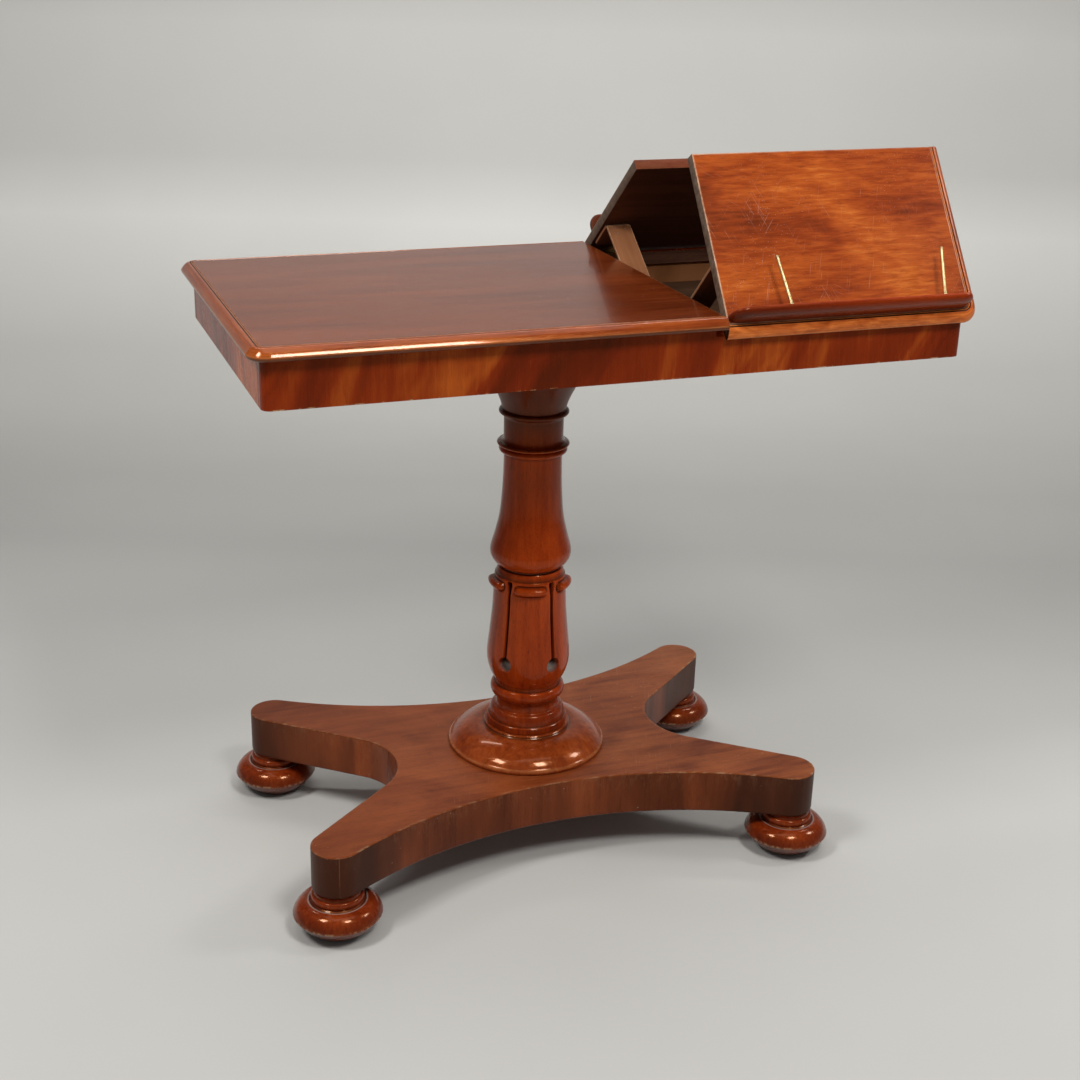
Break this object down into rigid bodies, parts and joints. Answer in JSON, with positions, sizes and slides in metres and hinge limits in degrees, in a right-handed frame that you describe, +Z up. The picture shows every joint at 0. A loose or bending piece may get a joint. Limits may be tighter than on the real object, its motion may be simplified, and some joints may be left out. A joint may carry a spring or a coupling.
{
  "type": "reading table",
  "caption": "Pedestal reading table: fixed top at the left, hinged book slopes with ledges and page pins at the right, over a turned column and a concave platform on bun feet.",
  "frame": {"origin": "on the floor, under the middle of the table's overall length and depth, slopes raised", "axes": "+X along the top towards the slopes, +Y to the rear, +Z up"},
  "size_m": [0.865, 0.4677, 0.8914],
  "materials": {
    "polished_mahogany": "french polished, grain showing",
    "dark_mahogany": "dark polish, worn on the arrises",
    "flame_veneer": "figured veneer, polished",
    "platform_veneer": "veneer, worn polish",
    "ledge_mahogany": "polished",
    "plain_deal": "unpolished softwood",
    "pale_strut_wood": "unpolished",
    "old_brass": "bright where handled",
    "screw_steel": "dulled"
  },
  "bodies": {
    "stand": {"platform_core_front_left": "platform_veneer", "platform_core_front_right": "platform_veneer", "platform_core_rear_left": "platform_veneer", "platform_core_rear_right": "platform_veneer", "platform_top_veneer": "platform_veneer", "platform_edge_veneer": "platform_veneer", "foot_front_left": "dark_mahogany", "foot_front_right": "dark_mahogany", "foot_rear_left": "dark_mahogany", "foot_rear_right": "dark_mahogany", "column_collar": "dark_mahogany", "column": "dark_mahogany", "column_wedge": "plain_deal", "top_bearer": "platform_veneer", "bearer_screw_front_left": "screw_steel", "bearer_screw_front_right": "screw_steel", "bearer_screw_rear_left": "screw_steel", "bearer_screw_rear_right": "screw_steel", "frieze_front_rail": "flame_veneer", "frieze_rear_rail": "flame_veneer", "frieze_left_rail": "flame_veneer", "frieze_right_rail": "flame_veneer", "bottom_board": "plain_deal", "partition_rail": "plain_deal", "front_well_strip": "ledge_mahogany", "rear_well_strip": "ledge_mahogany", "fixed_top_board": "polished_mahogany", "fixed_top_moulding": "polished_mahogany", "front_left_rack": "plain_deal", "front_right_rack": "plain_deal", "rear_left_rack": "plain_deal", "rear_right_rack": "plain_deal", "front_hinge_left_fixed_leaf": "old_brass", "front_hinge_right_fixed_leaf": "old_brass", "rear_hinge_left_fixed_leaf": "old_brass", "rear_hinge_right_fixed_leaf": "old_brass"},
    "front_slope": {"front_slope_board": "polished_mahogany", "front_slope_moulding": "polished_mahogany", "front_slope_ledge": "ledge_mahogany", "front_slope_left_cleat": "pale_strut_wood", "front_slope_right_cleat": "pale_strut_wood", "front_hinge_left_slope_leaf": "old_brass", "front_hinge_right_slope_leaf": "old_brass"},
    "front_slope_left_strut": {"front_slope_left_strut": "pale_strut_wood"},
    "front_slope_right_strut": {"front_slope_right_strut": "pale_strut_wood"},
    "front_slope_left_pin": {"front_slope_left_pin": "old_brass"},
    "front_slope_right_pin": {"front_slope_right_pin": "old_brass"},
    "rear_slope": {"rear_slope_board": "polished_mahogany", "rear_slope_moulding": "polished_mahogany", "rear_slope_ledge": "ledge_mahogany", "rear_slope_left_cleat": "pale_strut_wood", "rear_slope_right_cleat": "pale_strut_wood", "rear_hinge_left_slope_leaf": "old_brass", "rear_hinge_right_slope_leaf": "old_brass"},
    "rear_slope_left_strut": {"rear_slope_left_strut": "pale_strut_wood"},
    "rear_slope_right_strut": {"rear_slope_right_strut": "pale_strut_wood"},
    "rear_slope_left_pin": {"rear_slope_left_pin": "old_brass"},
    "rear_slope_right_pin": {"rear_slope_right_pin": "old_brass"}
  },
  "joints": [
    {"name": "front_slope_hinge", "type": "hinge", "parent": "stand", "child": "front_slope", "pos_m": [0.26075, -0.207, 0.7185], "axis": [1, 0, 0], "range_deg": [-55, 3]},
    {"name": "front_slope_left_strut_hinge", "type": "hinge", "parent": "front_slope", "child": "front_slope_left_strut", "pos_m": [0.1233, -0.16112, 0.77305], "axis": [1, 0, 0], "range_deg": [-5.48, 100.15]},
    {"name": "front_slope_right_strut_hinge", "type": "hinge", "parent": "front_slope", "child": "front_slope_right_strut", "pos_m": [0.374, -0.16112, 0.77305], "axis": [1, 0, 0], "range_deg": [-5.48, 100.15]},
    {"name": "front_slope_left_pin_swivel", "type": "hinge", "parent": "front_slope", "child": "front_slope_left_pin", "pos_m": [0.176, -0.22737, 0.74258], "axis": [0, -0.8192, 0.5736], "range_deg": [-65, 55]},
    {"name": "front_slope_right_pin_swivel", "type": "hinge", "parent": "front_slope", "child": "front_slope_right_pin", "pos_m": [0.376, -0.22737, 0.74258], "axis": [0, -0.8192, 0.5736], "range_deg": [-50, 70]},
    {"name": "rear_slope_hinge", "type": "hinge", "parent": "stand", "child": "rear_slope", "pos_m": [0.26075, 0.207, 0.7185], "axis": [-1, 0, 0], "range_deg": [-41, 17]},
    {"name": "rear_slope_left_strut_hinge", "type": "hinge", "parent": "rear_slope", "child": "rear_slope_left_strut", "pos_m": [0.1233, 0.14928, 0.76033], "axis": [-1, 0, 0], "range_deg": [-32.38, 78.08]},
    {"name": "rear_slope_right_strut_hinge", "type": "hinge", "parent": "rear_slope", "child": "rear_slope_right_strut", "pos_m": [0.374, 0.14928, 0.76033], "axis": [-1, 0, 0], "range_deg": [-32.38, 78.08]},
    {"name": "rear_slope_left_pin_swivel", "type": "hinge", "parent": "rear_slope", "child": "rear_slope_left_pin", "pos_m": [0.176, 0.20207, 0.76319], "axis": [0, -0.6561, -0.7547], "range_deg": [-65, 55]},
    {"name": "rear_slope_right_pin_swivel", "type": "hinge", "parent": "rear_slope", "child": "rear_slope_right_pin", "pos_m": [0.376, 0.20207, 0.76319], "axis": [0, -0.6561, -0.7547], "range_deg": [-50, 70]}
  ],
  "couplings": [
    {"joint": "front_slope_left_strut_hinge", "follows": "front_slope_hinge", "ratio": -1.8206},
    {"joint": "front_slope_right_strut_hinge", "follows": "front_slope_hinge", "ratio": -1.8206},
    {"joint": "rear_slope_left_strut_hinge", "follows": "rear_slope_hinge", "ratio": -1.904},
    {"joint": "rear_slope_right_strut_hinge", "follows": "rear_slope_hinge", "ratio": -1.904}
  ]
}
